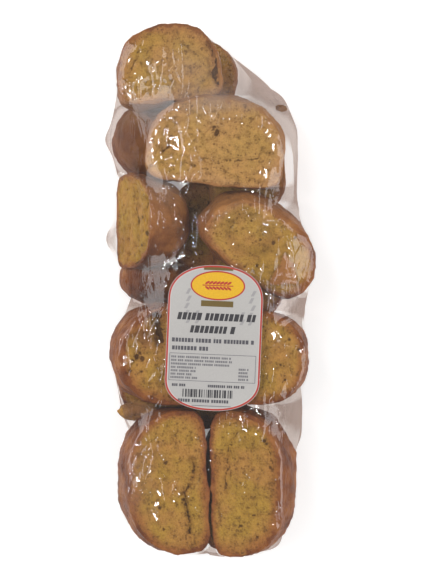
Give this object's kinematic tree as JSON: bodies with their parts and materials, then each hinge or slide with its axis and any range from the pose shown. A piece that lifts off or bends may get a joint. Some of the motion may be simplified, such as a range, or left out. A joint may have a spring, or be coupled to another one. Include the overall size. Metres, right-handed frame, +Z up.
{
  "type": "bag of rusks",
  "caption": "Clear sealed bag of thick oval rusks with a rounded paper label, lying on its back.",
  "frame": {"origin": "centre of the bag's footprint, on the surface it lies on", "axes": "+Z up through the label's face, +Y along the bag towards its top end, +X to the right of the label"},
  "size_m": [0.1507, 0.3909, 0.0805],
  "materials": {
    "bagged_rusks": "gloss",
    "label_paper": "satin",
    "film": "clear gloss",
    "rusk_bread": "matt",
    "print": "satin"
  },
  "bodies": {
    "root": {"bag": "bagged_rusks", "label": "label_paper"}
  },
  "joints": []
}
